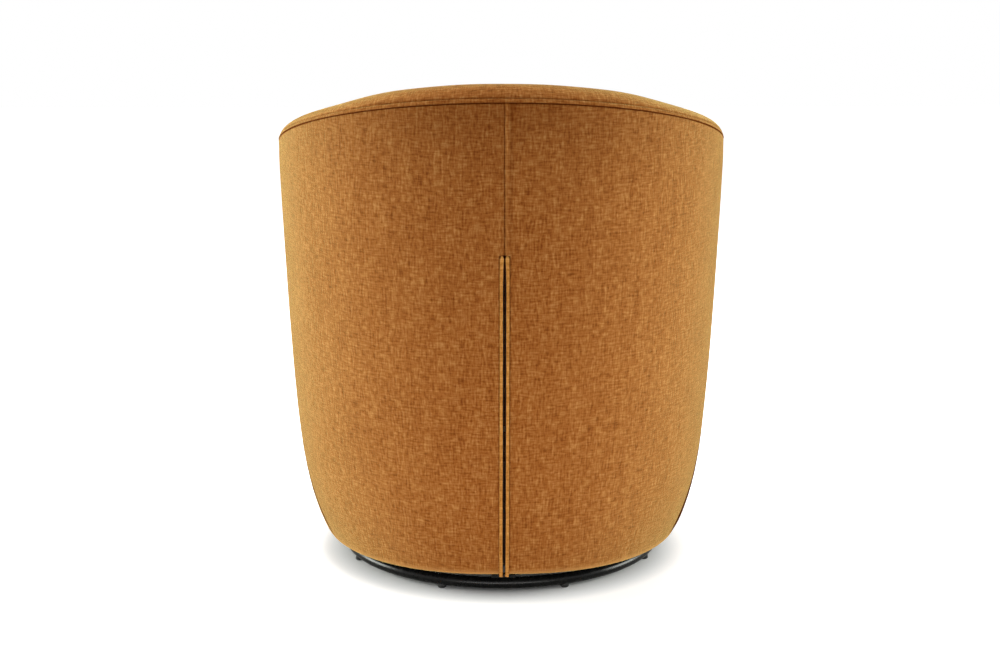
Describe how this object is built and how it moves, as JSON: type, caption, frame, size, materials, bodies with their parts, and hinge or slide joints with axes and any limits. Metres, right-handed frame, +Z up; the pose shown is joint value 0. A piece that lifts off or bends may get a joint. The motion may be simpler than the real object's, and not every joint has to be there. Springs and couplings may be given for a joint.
{
  "type": "swivel armchair",
  "caption": "Round-backed swivel armchair: rolled rim sloping down to the arms, loose seat cushion, zipped back cover, and a tubular ring base on which the seat turns.",
  "frame": {"origin": "on the floor, on the swivel axis, which is the centre of the base ring", "axes": "+Z up; the sitter faces -Y, so the zipped back is at +Y; +X is the sitter's left"},
  "size_m": [0.7082, 0.7082, 0.7909],
  "materials": {
    "chenille": "ochre and rust chenille with a heathered, slubby weave",
    "zip_tape": "black woven tape with a black nylon chain",
    "gloss_black_steel": "gloss black powder coat on steel",
    "zinc_steel": "bright zinc plate on steel",
    "black_plastic": "black moulded plastic",
    "white_plastic": "natural white moulded plastic",
    "plywood": "raw plywood",
    "webbing": "black elastic webbing",
    "dust_cloth": "thin black non-woven cloth"
  },
  "bodies": {
    "base": {"base_ring": "gloss_black_steel", "base_cross": "gloss_black_steel", "floor_glide_1": "black_plastic", "floor_glide_2": "black_plastic", "floor_glide_3": "black_plastic", "floor_glide_4": "black_plastic", "floor_glide_5": "black_plastic", "floor_glide_6": "black_plastic", "floor_glide_7": "black_plastic", "floor_glide_8": "black_plastic", "lower_bearing_plate": "zinc_steel", "pivot_bolt": "zinc_steel", "pivot_bush": "white_plastic", "pivot_washer": "zinc_steel", "pivot_nut": "zinc_steel"},
    "ball_cage": {"ball_cage": "white_plastic"},
    "seat": {"arm_front_left": "chenille", "arm_front_right": "chenille", "base_board": "plywood", "dust_cover": "dust_cloth", "frame_rib_left_1": "plywood", "frame_rib_left_2": "plywood", "frame_rib_left_3": "plywood", "frame_rib_right_1": "plywood", "frame_rib_right_2": "plywood", "frame_rib_right_3": "plywood", "front_apron": "chenille", "front_rail": "plywood", "front_rib_left": "plywood", "front_rib_right": "plywood", "inner_arm_pad_left": "chenille", "inner_arm_pad_right": "chenille", "inner_back_pad": "chenille", "outer_back_left": "chenille", "outer_back_right": "chenille", "outer_side_left": "chenille", "outer_side_right": "chenille", "plate_bolt_1": "zinc_steel", "plate_bolt_2": "zinc_steel", "plate_bolt_3": "zinc_steel", "plate_bolt_4": "zinc_steel", "rim_roll": "chenille", "seat_cushion": "chenille", "seat_frame_back": "plywood", "seat_frame_left": "plywood", "seat_frame_right": "plywood", "seat_strap_1": "webbing", "seat_strap_2": "webbing", "seat_strap_3": "webbing", "seat_strap_4": "webbing", "top_rail_left": "plywood", "top_rail_right": "plywood", "upper_bearing_plate": "zinc_steel", "zip_lip_left": "chenille", "zip_lip_right": "chenille", "zip_stringer_left": "zip_tape", "zip_stringer_right": "zip_tape"},
    "zip_slider": {"zip_slider": "black_plastic"}
  },
  "joints": [
    {"name": "seat_swivel", "type": "hinge", "parent": "base", "child": "seat", "pos_m": [0, 0, 0], "axis": [0, 0, 1], "continuous": true},
    {"name": "ball_cage_roll", "type": "hinge", "parent": "base", "child": "ball_cage", "pos_m": [0, 0, 0], "axis": [0, 0, 1], "continuous": true},
    {"name": "zip_slider_run", "type": "hinge", "parent": "seat", "child": "zip_slider", "pos_m": [0, -3.05581, 0.65], "axis": [1, 0, 0], "range_deg": [0, 8.13]}
  ],
  "couplings": [
    {"joint": "ball_cage_roll", "follows": "seat_swivel", "ratio": 0.5}
  ]
}
